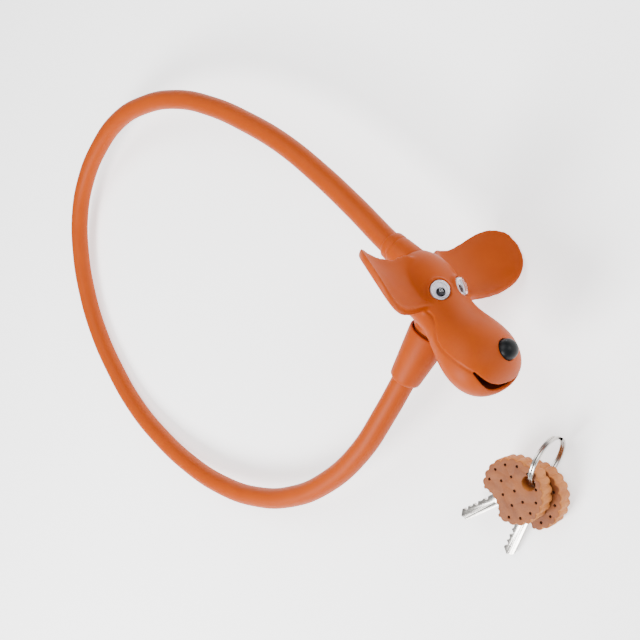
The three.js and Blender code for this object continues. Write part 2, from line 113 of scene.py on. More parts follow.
def alone(*chosen):
    """Selects only these objects, with the first one active."""
    if bpy.context.object and bpy.context.object.mode != "OBJECT":
        bpy.ops.object.mode_set(mode="OBJECT")
    for each in bpy.context.scene.objects:
        each.select_set(False)
    for each in chosen:
        each.select_set(True)
    bpy.context.view_layer.objects.active = chosen[0]


def lay(piece, matrix):
    """Puts a drawn piece in its place, with the place in its mesh."""
    alone(piece)
    piece.matrix_world = matrix @ piece.matrix_world
    bpy.ops.object.transform_apply(location=True, rotation=True, scale=True)


def close_up():
    """Turns every face of the piece being edited outwards, and leaves edit mode."""
    bpy.ops.mesh.select_all(action="SELECT")
    bpy.ops.mesh.normals_make_consistent(inside=False)
    bpy.ops.object.mode_set(mode="OBJECT")


def routed(name, radius, round_steps):
    """The cable's route as a mesh: its middle line, or a tube of this radius round it."""
    line = bpy.data.curves.new(name, "CURVE")
    line.dimensions = "3D"
    spline = line.splines.new("BEZIER")
    spline.bezier_points.add(len(SHEATH_ROUTE) - 1)
    for point, (x, z) in zip(spline.bezier_points, SHEATH_ROUTE):
        point.co = (x, 0, z)
        point.handle_left_type = point.handle_right_type = "AUTO"
    line.resolution_u = 10
    line.bevel_depth = radius
    line.bevel_resolution = round_steps
    line.use_fill_caps = radius > 0
    piece = bpy.data.objects.new(name, line)
    bpy.context.scene.collection.objects.link(piece)
    alone(piece)
    bpy.ops.object.convert(target="MESH")
    lay(piece, HEAD)
    return piece


middle_line = routed("sheath_line", 0, 0)
bpy.data.objects.remove(middle_line)
sheath = routed("sheath", SHEATH_R, 10)
bpy.ops.object.shade_smooth()


def blank(name):
    """A new material, with its nodes, links, shader and object coordinates."""
    material = bpy.data.materials.new(name)
    material.use_nodes = True
    nodes, links = material.node_tree.nodes, material.node_tree.links
    return material, nodes, links, nodes["Principled BSDF"], nodes.new("ShaderNodeTexCoord")


def silicone(name, mottle=90.0):
    """Satin coloured silicone: slight cloudiness and a fine pressed grain."""
    material, nodes, links, shader, place = blank(name)
    cloud = nodes.new("ShaderNodeTexNoise")
    cloud.inputs["Scale"].default_value = mottle
    cloud.inputs["Detail"].default_value = 4
    tint = nodes.new("ShaderNodeMix")
    tint.data_type = "RGBA"
    tint.inputs[6].default_value = (*ORANGE, 1)
    tint.inputs[7].default_value = (*PALE_ORANGE, 1)
    links.new(place.outputs["Object"], cloud.inputs["Vector"])
    links.new(cloud.outputs["Fac"], tint.inputs[0])
    links.new(tint.outputs[2], shader.inputs["Base Color"])
    gloss = nodes.new("ShaderNodeMapRange")
    gloss.inputs["To Min"].default_value = 0.44
    gloss.inputs["To Max"].default_value = 0.58
    links.new(cloud.outputs["Fac"], gloss.inputs["Value"])
    links.new(gloss.outputs["Result"], shader.inputs["Roughness"])
    grain = nodes.new("ShaderNodeTexNoise")
    grain.inputs["Scale"].default_value = 2600
    grain.inputs["Detail"].default_value = 2
    bump = nodes.new("ShaderNodeBump")
    bump.inputs["Strength"].default_value = 0.12
    bump.inputs["Distance"].default_value = 0.0002
    links.new(place.outputs["Object"], grain.inputs["Vector"])
    links.new(grain.outputs["Fac"], bump.inputs["Height"])
    links.new(bump.outputs["Normal"], shader.inputs["Normal"])
    shader.inputs["Subsurface Weight"].default_value = 0.12
    shader.inputs["Subsurface Radius"].default_value = (1.0, 0.35, 0.12)
    shader.inputs["Subsurface Scale"].default_value = 0.003
    shader.inputs["Specular IOR Level"].default_value = 0.12
    return material


sheath.data.materials.append(silicone("sheath_silicone"))
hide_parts("cable_sheath")
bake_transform(sheath)

# ---- Dog's head ----
# One hollow moulding of soft orange silicone, 2.2 mm thick, pulled over the lock body. Brow,
# muzzle and ears are one piece, with the smile and the eye sockets cut through it.
# It sits a little round on the lock body and is pulled a little to the right.
ROLL, YAW, YAW_AT = math.radians(6.3), math.radians(-2.6), Vector((20, 0, 0))
face_turn = (
    Matrix.Translation(YAW_AT) @ Matrix.Rotation(ROLL, 4, "X") @ Matrix.Rotation(YAW, 4, "Z")
    @ Matrix.Translation(-YAW_AT)
)
FACE = HEAD @ face_turn
SQUARE_TO_BODY = face_turn.inverted()
SKIN = 2.2
BROW_TAPER = 0.06  # how much narrower the head's top is than its underside
HEAD_ROWS = [  # forward, top, bottom, half width
    (15.2, 3.2, -5.4, 4.6), (15.6, 6.4, -8.6, 7.8), (18, 8.6, -11.8, 11.4),
    (22.5, 10.2, -14.7, 14.9), (28.5, 10.7, -16.9, 17.1), (35.5, 9.4, -18.1, 17.4),
    (43, 6.3, -18.2, 16.2), (51, 3.5, -19.0, 15.3), (59, 3.5, -22.8, 17.0), (67, 4.9, -26.2, 19.1),
    (75, 5.0, -27.7, 20.1), (81.5, 3.2, -27.3, 19.0), (86.5, 0.2, -25.4, 16.2),
    (89.8, -3.8, -21.9, 11.8), (91.4, -8.2, -17.4, 5.6),
]


def cage(name, rows, inset=0.0, sides=32):
    """A closed form grown ring by ring from a circle, each ring scaled to its row."""
    first, top, bottom, half = rows[0]
    bpy.ops.object.select_all(action="DESELECT")
    bpy.ops.mesh.primitive_circle_add(
        vertices=sides, radius=1, fill_type="NGON", location=(0, 0, 0)
    )
    form = bpy.context.object
    form.name = name
    bpy.ops.object.mode_set(mode="EDIT")
    bpy.ops.mesh.select_all(action="SELECT")
    middle, width, height = (top + bottom) / 2, half - inset, (top - bottom) / 2 - inset
    bpy.ops.transform.translate(value=(0, middle, first + inset))
    bpy.ops.transform.resize(value=(width, height, 1), center_override=(0, middle, first + inset))
    for along, top, bottom, half in rows[1:]:
        new_middle = (top + bottom) / 2
        depth = along if along < rows[-1][0] else along - inset
        bpy.ops.mesh.extrude_region_move(
            TRANSFORM_OT_translate={"value": (0, new_middle - middle, depth - (first + inset))}
        )
        wide, high = half - inset, (top - bottom) / 2 - inset
        bpy.ops.transform.resize(
            value=(wide / width, high / height, 1), center_override=(0, new_middle, depth)
        )
        first, middle, width, height = depth - inset, new_middle, wide, high
    close_up()
    for vertex in form.data.vertices:
        row_top = max(v.co.y for v in form.data.vertices if abs(v.co.z - vertex.co.z) < 0.01)
        row_low = min(v.co.y for v in form.data.vertices if abs(v.co.z - vertex.co.z) < 0.01)
        rise = (2 * vertex.co.y - row_top - row_low) / (row_top - row_low)
        vertex.co.x *= 1 - BROW_TAPER * rise
    # drawn along z with its top towards y: turn it to run forward with its top up
    lay(form, Matrix(((0, 0, 1, 0), (1, 0, 0, 0), (0, 1, 0, 0), (0, 0, 0, 1))))
    return form


def finished(piece, kind, **settings):
    """Adds a modifier and applies it."""
    alone(piece)
    modifier = piece.modifiers.new(kind.title(), kind)
    for key, value in settings.items():
        setattr(modifier, key, value)
    bpy.ops.object.modifier_apply(modifier=modifier.name)


def smoothed(piece, level):
    """Subdivides the piece this many times."""
    finished(piece, "SUBSURF", levels=level, render_levels=level)


def carved(piece, *tools):
    """Cuts each tool out of the piece, and throws the tool away."""
    for tool in tools:
        finished(piece, "BOOLEAN", operation="DIFFERENCE", solver="EXACT", object=tool)
        bpy.data.objects.remove(tool)


def fused(name, *parts):
    """Joins the parts into one piece with this name."""
    alone(*parts)
    bpy.ops.object.join()
    parts[0].name = name
    return parts[0]


head = cage("head", HEAD_ROWS)
smoothed(head, 2)

EAR_RIM = [  # forward, outward
    (45.4, 8), (46.4, 18), (47.8, 28), (49.2, 36), (48.8, 43.2), (44.8, 47.8), (37.6, 49.8),
    (28.6, 49.2), (21.6, 45.4), (18.2, 39), (18.2, 30), (19.6, 19), (21, 8),
]
EAR_MIDDLE = (33, 30)
# From the underside's edge, round the thick rim and down into the dish: share, height.
EAR_SECTION = [
    (0.985, -2.2), (1.0, -1.9), (1.0, 0), (1.0, 1.9), (0.99, 2.2), (0.965, 2.25), (0.93, 2.0),
    (0.85, 1.3), (0.7, 0.5), (0.45, 0.1), (0.2, 0),
]
EAR_UNDER = -2.3
EAR_CURL, EAR_CURL_FROM = 0.0165, 19
EAR_LEAN, EAR_LEVEL_AT = 0.28, 37
EARS_SQUARE = (
    Matrix.Translation(YAW_AT) @ Matrix.Rotation(-YAW, 4, "Z") @ Matrix.Translation(-YAW_AT)
)


def between(points, turn):
    """A point on the smooth closed curve through the points, for a turn from 0 to 1."""
    step = turn * len(points)
    i, t = int(step), step % 1
    a, b, c, d = (Vector(points[(i + k) % len(points)]) for k in (-1, 0, 1, 2))
    square, cube = 2 * a - 5 * b + 4 * c - d, 3 * b - a - 3 * c + d
    return b + (c - a) * t / 2 + square * t**2 / 2 + cube * t**3 / 2


def ear(side):
    """A dished paddle with a thick square rim, widest at its tip and curling up outwards."""
    steps = 52
    bpy.ops.object.select_all(action="DESELECT")
    bpy.ops.mesh.primitive_circle_add(vertices=steps, radius=30, fill_type="NGON")
    paddle = bpy.context.object
    for i, vertex in enumerate(paddle.data.vertices):
        vertex.co = (*between(EAR_RIM, i / steps), EAR_UNDER)
    bpy.ops.object.mode_set(mode="EDIT")
    bpy.ops.mesh.select_all(action="SELECT")
    share, height = 0.96, EAR_UNDER
    bpy.ops.transform.resize(value=(share, share, 1), center_override=(*EAR_MIDDLE, height))
    for new_share, new_height in EAR_SECTION:
        bpy.ops.mesh.extrude_region_move(
            TRANSFORM_OT_translate={"value": (0, 0, new_height - height)}
        )
        grow = new_share / share
        bpy.ops.transform.resize(value=(grow, grow, 1), center_override=(*EAR_MIDDLE, new_height))
        share, height = new_share, new_height
    bpy.ops.object.mode_set(mode="OBJECT")
    smoothed(paddle, 1)
    for vertex in paddle.data.vertices:
        x, y, z = vertex.co
        curl = EAR_CURL * (y - EAR_CURL_FROM) ** 2
        lean = EAR_LEAN * (EAR_LEVEL_AT - x)
        vertex.co = (x, side * y, z + curl + lean)
    bpy.ops.object.mode_set(mode="EDIT")
    close_up()
    lay(paddle, EARS_SQUARE)
    return paddle


EYE_AT = (43.6, 6.8, 4.1)
EYE_LOOK = (0.55, 0.4, 0.73)
EYE_R = 4.6
SOCKET_GAP = 0.4


def eye_place(side):
    """The matrix that puts a piece drawn about z on one eye's axis."""
    look = Vector((EYE_LOOK[0], side * EYE_LOOK[1], EYE_LOOK[2])).normalized()
    turn = Vector((0, 0, 1)).rotation_difference(look).to_matrix().to_4x4()
    return Matrix.Translation((EYE_AT[0], side * EYE_AT[1], EYE_AT[2])) @ turn


def ring_bead(radius, thick, place):
    """A raised ring for the rim of an opening."""
    bpy.ops.object.select_all(action="DESELECT")
    bpy.ops.mesh.primitive_torus_add(
        major_radius=radius, minor_radius=thick, major_segments=48, minor_segments=12
    )
    bead = bpy.context.object
    lay(bead, place)
    return bead


def drum(radius, low, high, place=Matrix(), sides=48):
    """A plain round tool for cutting, from low to high on its axis."""
    bpy.ops.object.select_all(action="DESELECT")
    bpy.ops.mesh.primitive_cylinder_add(
        vertices=sides, radius=radius, depth=high - low, location=(0, 0, (low + high) / 2)
    )
    tool = bpy.context.object
    lay(tool, place)
    return tool


PIN_AT = (45, 0, 0)
FORWARD_TURN = Matrix.Rotation(math.pi / 2, 4, "Y")
socket_beads = [ring_bead(EYE_R + 1.0, 0.8, eye_place(side)) for side in (1, -1)]
head = fused("head", head, ear(1), ear(-1), *socket_beads)
finished(head, "REMESH", mode="VOXEL", voxel_size=0.7)
finished(head, "SMOOTH", factor=0.5, iterations=6)

MOUTH_HALF = 17.4
MOUTH_Z = -7.8
MOUTH_TILT = -0.057
MOUTH_FROM = 77.5


def smile():
    """A crescent block as deep as the lips."""
    upper, lower = -11.4, -20.2  # how far its two arcs' control points hang
    steps = 14
    bpy.ops.object.select_all(action="DESELECT")
    bpy.ops.mesh.primitive_circle_add(vertices=steps * 2, radius=1, fill_type="NGON")
    tool = bpy.context.object
    for i, vertex in enumerate(tool.data.vertices):
        t = i / steps if i <= steps else 2 - i / steps
        hang = upper if i <= steps else lower
        vertex.co = (MOUTH_FROM, -MOUTH_HALF + 2 * MOUTH_HALF * t, MOUTH_Z + hang * 2 * t * (1 - t))
    bpy.ops.object.mode_set(mode="EDIT")
    bpy.ops.mesh.select_all(action="SELECT")
    bpy.ops.mesh.extrude_region_move(TRANSFORM_OT_translate={"value": (22, 0, 0)})
    close_up()
    lay(tool, Matrix.Rotation(MOUTH_TILT, 4, "X"))
    return tool


def neck_tool(radius, low, high):
    """A round tool down the neck, square to the lock body."""
    return drum(radius, low, high, SQUARE_TO_BODY @ Matrix.Translation(PIN_AT))


NOSE_R = 4.9
NOSE_AT = (84.4, 0.8, 0.9)
NOSE_LEAN = 0.75
NOSE_PLACE = Matrix.Translation(NOSE_AT) @ Matrix.Rotation(NOSE_LEAN, 4, "Y")
sockets = [drum(EYE_R + SOCKET_GAP, -1.6, 8, eye_place(side)) for side in (1, -1)]
carved(head, smile(), *sockets, neck_tool(11.3, -34, -20.1))
finished(head, "REMESH", mode="VOXEL", voxel_size=0.52)
finished(head, "SMOOTH", factor=0.5, iterations=4)
hollow = cage("hollow", HEAD_ROWS, inset=SKIN, sides=24)
smoothed(hollow, 1)
carved(
    head, hollow, neck_tool(9.9, -30, -12), drum(8.6, 4, 19, FORWARD_TURN),
    drum(6.7, 17, 40, FORWARD_TURN),
    drum(5.9, 54.6, 76, SQUARE_TO_BODY @ Matrix.Translation((0, 0, -17)) @ FORWARD_TURN),
)
CREASE = [  # from the mouth's corner along the jaw and up the side of the neck
    (83.9, 16.5, -8.8), (78.7, 18.6, -8.8), (75.1, 19.2, -9.2), (70.8, 19.2, -9.6),
    (66.2, 18.6, -10.1), (61.6, 17.5, -9.7), (58.3, 16.6, -8), (55.2, 15.3, -5.5),
    (52, 14.5, -4.1), (49.9, 14.4, -3.7), (47.4, 15, -3.7),
]
CREASE_WIDE, CREASE_DEEP = 0.55, 0.5


def to_segment(point, a, b):
    """The distance from the point to the straight line between a and b."""
    share = max(0, min(1, (point - a).dot(b - a) / (b - a).length_squared))
    return (point - a - (b - a) * share).length


for vertex in head.data.vertices:
    x, y, z = vertex.co
    if 46 < x < 85 and abs(y) > 12.5 and -13 < z < 0:
        here = Vector((x, abs(y), z))
        away = min(to_segment(here, Vector(a), Vector(b)) for a, b in zip(CREASE, CREASE[1:]))
        vertex.co -= vertex.normal * CREASE_DEEP * math.exp(-((away / CREASE_WIDE) ** 2))
carved(head, drum(NOSE_R + 0.3, -3.4, 6, NOSE_PLACE))
alone(head)
bpy.ops.object.shade_smooth_by_angle(angle=math.radians(50))
lay(head, FACE)
head.data.materials.append(silicone("head_silicone"))
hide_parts("head_skin", "ear_left", "ear_right")
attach(head, "lock")

# ---- Nose ----
# A separate satin black moulding, almost round, pushed into its seat from outside.


def fresh(name, piece):
    """Names the piece and its mesh."""
    piece.name = name
    piece.data.name = name
    return piece


bpy.ops.object.select_all(action="DESELECT")
bpy.ops.mesh.primitive_uv_sphere_add(segments=48, ring_count=24, radius=NOSE_R)
nose = fresh("nose_pad", bpy.context.object)
bpy.ops.object.mode_set(mode="EDIT")
bpy.ops.mesh.select_all(action="SELECT")
bpy.ops.transform.resize(value=(1, 1.04, 0.94))
bpy.ops.object.mode_set(mode="OBJECT")
bpy.ops.object.shade_smooth()
lay(nose, FACE @ NOSE_PLACE)


def moulded(name, color, rough, coat=0.0, shine=0.5):
    """Hard moulded plastic or rubber: slight gloss change and a fine texture from its mould."""
    material, nodes, links, shader, place = blank(name)
    speck = nodes.new("ShaderNodeTexNoise")
    speck.inputs["Scale"].default_value = 900
    speck.inputs["Detail"].default_value = 4
    tint = nodes.new("ShaderNodeMix")
    tint.data_type = "RGBA"
    tint.inputs[6].default_value = (*[c * 0.86 for c in color], 1)
    tint.inputs[7].default_value = (*[min(1, c * 1.1 + 0.002) for c in color], 1)
    gloss = nodes.new("ShaderNodeMapRange")
    gloss.inputs["To Min"].default_value = max(0.02, rough - 0.06)
    gloss.inputs["To Max"].default_value = rough + 0.06
    bump = nodes.new("ShaderNodeBump")
    bump.inputs["Strength"].default_value = 0.08
    bump.inputs["Distance"].default_value = 0.0002
    links.new(place.outputs["Object"], speck.inputs["Vector"])
    links.new(speck.outputs["Fac"], tint.inputs[0])
    links.new(tint.outputs[2], shader.inputs["Base Color"])
    links.new(speck.outputs["Fac"], gloss.inputs["Value"])
    links.new(gloss.outputs["Result"], shader.inputs["Roughness"])
    links.new(speck.outputs["Fac"], bump.inputs["Height"])
    links.new(bump.outputs["Normal"], shader.inputs["Normal"])
    shader.inputs["Coat Weight"].default_value = coat
    shader.inputs["Specular IOR Level"].default_value = shine
    return material


nose.data.materials.append(moulded("nose_black", (0.003, 0.004, 0.005), 0.4, shine=0.15))
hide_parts("nose")
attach(nose, "lock")

# ---- Eyes ----
# Craft eyes, 9 mm across: a white cup pressed into its socket, a loose black disc, and a
# clear dome snapped over both.
white = moulded("eye_white", (0.86, 0.86, 0.9), 0.3, coat=0.3)
black = moulded("pupil_black", (0.002, 0.002, 0.004), 0.25, shine=0.2)


def turned(name, outline, place, sides=64):
    """A piece turned about z: a circle of each radius in the outline, bridged to the next."""
    bpy.ops.object.select_all(action="DESELECT")
    (radius, height), rest = outline[0], outline[1:]
    bpy.ops.mesh.primitive_circle_add(vertices=sides, radius=radius, location=(0, 0, height))
    piece = fresh(name, bpy.context.object)
    lay(piece, Matrix())
    bpy.ops.object.mode_set(mode="EDIT")
    bpy.ops.mesh.select_all(action="SELECT")
    for new_radius, new_height in rest + [outline[0]]:
        bpy.ops.mesh.extrude_edges_move(
            TRANSFORM_OT_translate={"value": (0, 0, new_height - height)}
        )
        scale = new_radius / radius
        bpy.ops.transform.resize(value=(scale, scale, 1), center_override=(0, 0, new_height))
        radius, height = new_radius, new_height
    bpy.ops.mesh.select_all(action="SELECT")
    bpy.ops.mesh.remove_doubles(threshold=0.01)
    bpy.ops.mesh.normals_make_consistent(inside=False)
    bpy.ops.object.mode_set(mode="OBJECT")
    lay(piece, place)
    return piece


def rounded(piece, width, segments=3, smooth=40):
    """Breaks the piece's edges with a small radius."""
    finished(piece, "BEVEL", width=width, segments=segments, limit_method="ANGLE", angle_limit=0.6)
    bpy.ops.object.shade_smooth_by_angle(angle=math.radians(smooth))


CENTRE = 0.02  # the smallest radius that a turned outline keeps on its axis


def clear(name, tint):
    """Clear moulded plastic, with the faintest scuffing."""
    material, nodes, links, shader, place = blank(name)
    scuff = nodes.new("ShaderNodeTexNoise")
    scuff.inputs["Scale"].default_value = 1400
    haze = nodes.new("ShaderNodeMapRange")
    haze.inputs["To Min"].default_value = 0.01
    haze.inputs["To Max"].default_value = 0.03
    links.new(place.outputs["Object"], scuff.inputs["Vector"])
    links.new(scuff.outputs["Fac"], haze.inputs["Value"])
    links.new(haze.outputs["Result"], shader.inputs["Roughness"])
    shader.inputs["Base Color"].default_value = (*tint, 1)
    shader.inputs["Transmission Weight"].default_value = 1
    shader.inputs["IOR"].default_value = 1.25
    return material


dome_clear = clear("dome_clear", (0.97, 0.96, 1))
dome_outside = [(EYE_R - 0.1, 1.0)]
dome_inside = [(EYE_R - 0.8, 1.0)]
for i in range(9):
    a = i / 8 * math.pi / 2
    dome_outside.append((max(CENTRE, math.cos(a) * (EYE_R - 0.1)), 1.2 + math.sin(a) * 2.3))
    dome_inside.append((max(CENTRE, math.cos(a) * (EYE_R - 0.8)), 1.2 + math.sin(a) * 1.6))
for word, side in (("left", 1), ("right", -1)):
    socket = FACE @ eye_place(side)
    cup = turned(
        "cup_" + word,
        [(CENTRE, -1.2), (EYE_R, -1.2), (EYE_R, 0.9), (EYE_R - 0.7, 0.9), (EYE_R - 0.8, -0.3),
         (CENTRE, -0.4)],
        socket,
    )
    rounded(cup, 0.1 * MM)
    cup.data.materials.append(white)
    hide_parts("eye_cup_" + word)
    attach(cup, "lock")
    disc = turned(
        "disc_" + word, [(CENTRE, 0), (2.2, 0), (2.2, 0.5), (1.6, 0.72), (CENTRE, 0.78)],
        socket @ Matrix.Translation((1, 0, 0)),
    )
    rounded(disc, 0.12 * MM)
    disc.data.materials.append(black)
    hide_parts("pupil_" + word)
    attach(disc, word + "_pupil")
    dome = turned("dome_" + word, dome_outside + dome_inside[::-1], socket)
    bpy.ops.object.shade_smooth_by_angle(angle=math.radians(50))
    dome.data.materials.append(dome_clear)
    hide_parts("eye_dome_" + word)
    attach(dome, "lock")

# ---- Collar, neck and release sleeve ----
# Orange silicone over hard cores: the collar where the cable is fixed, the boss under the chin,
# and the tapered cup on the cable's loose end that is pulled off it.
lock_silicone = silicone("lock_silicone", mottle=130.0)
collar = turned(
    "collar",
    [(6.2, 1), (6.8, 1), (7.3, 1.8), (7.5, 5), (7.2, 5.5), (7.2, 6.3), (7.6, 6.8), (8.2, 18),
     (4.9, 18), (4.9, 9), (6.2, 9)],
    HEAD @ FORWARD_TURN,
)
rounded(collar, 0.35 * MM)
collar.data.materials.append(lock_silicone)
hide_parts("rear_collar")
neck = turned(
    "neck",
    [(4.4, -33), (7.6, -33), (8, -32.4), (8, -30.4), (7.3, -30.4), (7.3, -28), (8, -28),
     (8.4, -19.8), (9.6, -19.2), (9.6, -13), (4.4, -13)],
    HEAD @ Matrix.Translation(PIN_AT),
)
rounded(neck, 0.2 * MM)
neck.data.materials.append(lock_silicone)
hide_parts("neck_housing")
sleeve = turned(
    "sleeve",
    [(6.2, -50), (7.2, -50), (7.9, -49.2), (8.15, -47.6), (10.6, -21.6), (10.4, -20.6),
     (9.4, -20.6), (9.1, -34), (5.7, -34), (5.7, -43.1), (6.2, -43.1)],
    HEAD @ Matrix.Translation(PIN_AT), 96,
)
rounded(sleeve, 0.3 * MM)
sleeve.data.materials.append(lock_silicone)
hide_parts("release_sleeve")
for piece, body in ((collar, "lock"), (neck, "lock"), (sleeve, "cable_end")):
    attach(piece, body)

# ---- Keys ----
# Flat nickel-plated blades, each moulded into a grip like a bitten biscuit: darker faces,
# paler scalloped edges and rows of pricked holes. Both grips hang on one split ring.
GRIP_R = 15.2
GRIP_THICK = 9
BITE_AT, BITE_R = 21.6, 10.6
BLADE_ROOT = BITE_AT - BITE_R
HOLE_AT, HOLE_R = -10.2, 3.6
SCALLOPS = 22
SCALLOP_DEEP = 1.1
stack_up = Vector(joint["key_a_swing"]["axis"]).normalized()


def key_place(word):
    """The matrix of a key drawn flat about its grip's middle, with its blade towards x."""
    hole = Vector(joint["key_" + word + "_swing"]["pos_m"])
    low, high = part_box("key_" + word + "_blade")
    along = (low + high) / 2 - hole
    along = (along - along.dot(stack_up) * stack_up).normalized()
    place = Matrix((along, stack_up.cross(along), stack_up)).transposed().to_4x4()
    place.translation = hole - along * HOLE_AT * MM
    return place @ Matrix.Scale(MM, 4)


def baked(name, dark, pale, rough):
    """Biscuit-coloured rubber: browned patches, small crumbs and pits."""
    material, nodes, links, shader, place = blank(name)
    patch = nodes.new("ShaderNodeTexNoise")
    patch.inputs["Scale"].default_value = 160
    patch.inputs["Detail"].default_value = 5
    ramp = nodes.new("ShaderNodeValToRGB")
    ramp.color_ramp.elements[0].position = 0.32
    ramp.color_ramp.elements[0].color = (*dark, 1)
    ramp.color_ramp.elements[1].position = 0.68
    ramp.color_ramp.elements[1].color = (*pale, 1)
    crumb = nodes.new("ShaderNodeTexVoronoi")
    crumb.inputs["Scale"].default_value = 900
    bump = nodes.new("ShaderNodeBump")
    bump.inputs["Strength"].default_value = 0.25
    bump.inputs["Distance"].default_value = 0.0003
    links.new(place.outputs["Object"], patch.inputs["Vector"])
    links.new(place.outputs["Object"], crumb.inputs["Vector"])
    links.new(patch.outputs["Fac"], ramp.inputs["Fac"])
    links.new(ramp.outputs["Color"], shader.inputs["Base Color"])
    links.new(crumb.outputs["Distance"], bump.inputs["Height"])
    links.new(bump.outputs["Normal"], shader.inputs["Normal"])
    shader.inputs["Roughness"].default_value = rough
    return material


def plated(name, color, rough, scratch=700.0, metal=1.0):
    """Plated or turned metal: fine scratches and a slightly uneven polish."""
    material, nodes, links, shader, place = blank(name)
    stretch = nodes.new("ShaderNodeMapping")
    stretch.inputs["Scale"].default_value = (1, 6, 1)
    wear = nodes.new("ShaderNodeTexNoise")
    wear.inputs["Scale"].default_value = scratch
    wear.inputs["Detail"].default_value = 6
    tint = nodes.new("ShaderNodeMix")
    tint.data_type = "RGBA"
    tint.inputs[6].default_value = (*[c * 0.85 for c in color], 1)
    tint.inputs[7].default_value = (*color, 1)
    gloss = nodes.new("ShaderNodeMapRange")
    gloss.inputs["To Min"].default_value = max(0.03, rough - 0.1)
    gloss.inputs["To Max"].default_value = rough + 0.1
    bump = nodes.new("ShaderNodeBump")
    bump.inputs["Strength"].default_value = 0.06
    bump.inputs["Distance"].default_value = 0.0001
    links.new(place.outputs["Object"], stretch.inputs["Vector"])
    links.new(stretch.outputs["Vector"], wear.inputs["Vector"])
    links.new(wear.outputs["Fac"], tint.inputs[0])
    links.new(tint.outputs[2], shader.inputs["Base Color"])
    links.new(wear.outputs["Fac"], gloss.inputs["Value"])
    links.new(gloss.outputs["Result"], shader.inputs["Roughness"])
    links.new(wear.outputs["Fac"], bump.inputs["Height"])
    links.new(bump.outputs["Normal"], shader.inputs["Normal"])
    shader.inputs["Metallic"].default_value = metal
    return material


crust = baked("biscuit_crust", (0.155, 0.036, 0.002), (0.24, 0.062, 0.004), 0.7)
crumb_side = baked("biscuit_side", (0.36, 0.105, 0.012), (0.47, 0.155, 0.022), 0.7)
# The pricked holes' material is a darker copy of the crust: painted shade inside the holes.
prick_painted_shade = baked("biscuit_pricks_painted_shade", (0.09, 0.022, 0.004), (0.14, 0.035, 0.006), 0.8)
nickel = plated("nickel_plate", (0.47, 0.45, 0.42), 0.24)
PRICKS = [
    (12.8 * math.cos(math.radians(a)), 12.8 * math.sin(math.radians(a)))
    for a in (50, 78, 106, 134, 162, 198, 226, 254, 282, 310)
] + [(-2.6, 6.4), (3.6, 5.6), (-3.4, -6.2), (2.6, -6.6), (-1.4, 0.2), (5.4, -0.6)]


def grip(name):
    """A thick scalloped disc with a bite at the blade, a ring hole and pricked faces."""
    bpy.ops.object.select_all(action="DESELECT")
    bpy.ops.mesh.primitive_circle_add(
        vertices=SCALLOPS * 8, radius=GRIP_R, fill_type="NGON", location=(0, 0, 0)
    )
    disc = fresh(name, bpy.context.object)
    for vertex in disc.data.vertices:
        a = math.atan2(vertex.co.y, vertex.co.x)
        grow = 1 + SCALLOP_DEEP * abs(math.sin(a * SCALLOPS / 2)) ** 0.8 / GRIP_R
        vertex.co = (vertex.co.x * grow, vertex.co.y * grow, -GRIP_THICK / 2)
    bpy.ops.object.mode_set(mode="EDIT")
    bpy.ops.mesh.select_all(action="SELECT")
    bpy.ops.mesh.extrude_region_move(TRANSFORM_OT_translate={"value": (0, 0, GRIP_THICK)})
    close_up()
    finished(disc, "BEVEL", width=0.7, segments=3, limit_method="ANGLE", angle_limit=1.2)
    teeth = [drum(BITE_R, -6, 6, Matrix.Translation((BITE_AT, 0, 0)), 40)]
    for step in range(-3, 4):
        a = math.pi + step * 0.27
        teeth.append(
            drum(1.7, -6, 6, Matrix.Translation(
                (BITE_AT + (BITE_R - 0.9) * math.cos(a), (BITE_R - 0.9) * math.sin(a), 0)), 20)
        )
    carved(disc, *teeth)
    carved(disc, drum(HOLE_R, -6, 6, Matrix.Translation((HOLE_AT, 0, 0)), 40))
    for x, y in PRICKS:
        carved(
            disc,
            drum(0.75, GRIP_THICK / 2 - 1.1, 6, Matrix.Translation((x, y, 0)), 14),
            drum(0.75, -6, 1.1 - GRIP_THICK / 2, Matrix.Translation((x, y, 0)), 14),
        )
    finished(disc, "BEVEL", width=0.22, segments=2, limit_method="ANGLE", angle_limit=0.9)
    disc.data.materials.append(crust)
    disc.data.materials.append(crumb_side)
    disc.data.materials.append(prick_painted_shade)
    for face in disc.data.polygons:
        flat = abs(face.normal.z) > 0.8 and abs(face.center.z) > GRIP_THICK / 2 - 0.15
        face.material_index = 0 if flat else 1
        # Walls and floors of the pricked holes take the darker material, painted shade in the
        # recesses.
        near = min((face.center.xy - Vector(prick)).length for prick in PRICKS)
        if near < 0.8 and not flat:
            face.material_index = 2
    return disc


NOTCH_DEPTHS = [1.2, 0.5, 1.5, 0.8, 1.3]
BLADE_HALF = 3
BLADE_REACH = 25
BLADE_THICK = 1.9


def blade_edge():
    """The blade's outline, with its cuts along one edge."""
    pitch = (BLADE_REACH - 8) / len(NOTCH_DEPTHS)
    points = [(-4, -4.9), (BLADE_ROOT + 1, -4.9), (BLADE_ROOT + 1, -BLADE_HALF)]
    for i, deep in enumerate(NOTCH_DEPTHS):
        x = BLADE_ROOT + 5 + i * pitch
        points += [
            (x, -BLADE_HALF), (x + pitch * 0.3, deep - BLADE_HALF),
            (x + pitch * 0.6, deep - BLADE_HALF), (x + pitch * 0.9, -BLADE_HALF),
        ]
    tip = BLADE_ROOT + BLADE_REACH
    return points + [
        (tip - 2.4, -BLADE_HALF), (tip, -0.4), (tip - 0.6, 1.4), (tip - 2.4, BLADE_HALF),
        (BLADE_ROOT + 1, BLADE_HALF), (BLADE_ROOT + 1, 4.9), (-4, 4.9),
    ]


